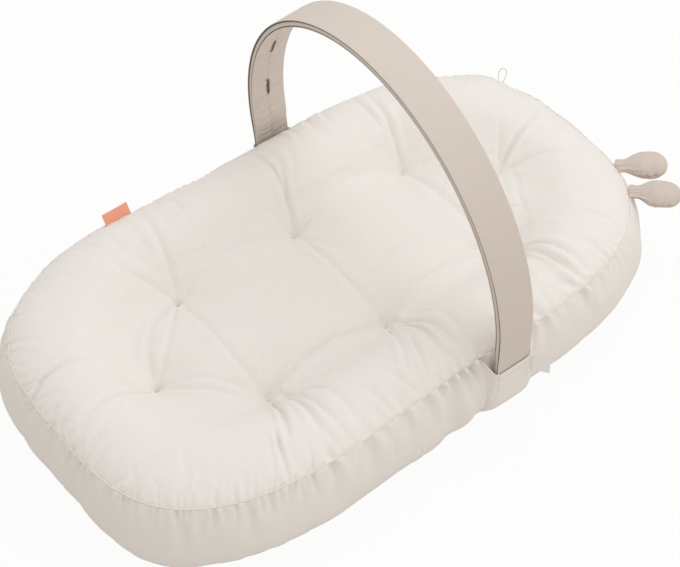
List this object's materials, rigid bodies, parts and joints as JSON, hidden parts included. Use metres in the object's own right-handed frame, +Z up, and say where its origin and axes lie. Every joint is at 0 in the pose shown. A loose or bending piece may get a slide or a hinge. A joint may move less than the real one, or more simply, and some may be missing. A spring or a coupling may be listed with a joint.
{
  "type": "infant lounger",
  "caption": "Oval tufted lounger cushion for an infant, with a padded rim, a removable arch that stands in two side pockets, and small stuffed ears.",
  "frame": {"origin": "middle of the flat base, on the floor", "axes": "+X along the cushion to the head end, +Y to the far side with the coral tab and the hanging loop, +Z up"},
  "size_m": [0.8253, 0.4812, 0.4348],
  "materials": {
    "cover_cotton": "cream plain-weave cotton",
    "fibre": "loose white polyester fibre",
    "thread": "cream cord and thread",
    "linen": "beige woven linen",
    "spring_strip": "plain",
    "buttonhole_thread": "olive-brown stitched thread",
    "ear_linen": "beige woven linen",
    "coral_ribbon": "coral woven ribbon",
    "white_ribbon": "white woven ribbon"
  },
  "bodies": {
    "cushion": {"fibre_filling": "fibre", "top_panel": "cover_cotton", "side_band_foot": "cover_cotton", "side_band_head": "cover_cotton", "base_panel": "cover_cotton", "pocket_near": "cover_cotton", "pocket_far": "cover_cotton", "tuft_tie_1": "thread", "tuft_tie_2": "thread", "tuft_tie_3": "thread", "tuft_tie_4": "thread", "tuft_tie_5": "thread", "tuft_tie_6": "thread", "tuft_tie_7": "thread", "tuft_tie_8": "thread"},
    "arch": {"arch_outer_band": "linen", "arch_core": "spring_strip", "arch_inner_band": "linen", "buttonhole_1": "buttonhole_thread", "buttonhole_2": "buttonhole_thread", "buttonhole_3": "buttonhole_thread", "buttonhole_4": "buttonhole_thread", "buttonhole_5": "buttonhole_thread"},
    "ear_far": {"ear_far_skin": "ear_linen", "ear_far_filling": "fibre"},
    "ear_near": {"ear_near_skin": "ear_linen", "ear_near_filling": "fibre"},
    "coral_tab": {"coral_tab": "coral_ribbon"},
    "white_tab": {"white_tab": "white_ribbon"},
    "hang_loop": {"hang_loop": "thread"}
  },
  "joints": [
    {"name": "arch_pull_out", "type": "slide", "parent": "cushion", "child": "arch", "axis": [-0.0628, 0, 0.998], "range_m": [0, 0.09]},
    {"name": "ear_far_bend", "type": "hinge", "parent": "cushion", "child": "ear_far", "pos_m": [0.37937, -0.09346, 0.119], "axis": [-0.5707, -0.8211, 0], "range_deg": [-35, 60], "stiffness_Nm_per_rad": 0.05},
    {"name": "ear_near_bend", "type": "hinge", "parent": "cushion", "child": "ear_near", "pos_m": [0.36183, -0.13443, 0.119], "axis": [-0.7022, -0.712, 0], "range_deg": [-35, 60], "stiffness_Nm_per_rad": 0.05},
    {"name": "coral_tab_bend", "type": "hinge", "parent": "cushion", "child": "coral_tab", "pos_m": [-0.15537, 0.21904, 0.12045], "axis": [1, 0.0093, 0], "range_deg": [-25, 25], "stiffness_Nm_per_rad": 0.002},
    {"name": "white_tab_bend", "type": "hinge", "parent": "cushion", "child": "white_tab", "pos_m": [0.10986, -0.23287, 0.08366], "axis": [-0.0628, 0, 0.998], "range_deg": [-30, 30], "stiffness_Nm_per_rad": 0.002},
    {"name": "hang_loop_bend", "type": "hinge", "parent": "cushion", "child": "hang_loop", "pos_m": [0.36434, 0.11772, 0.12045], "axis": [0.4299, -0.9029, 0], "range_deg": [-25, 25], "stiffness_Nm_per_rad": 0.002}
  ]
}
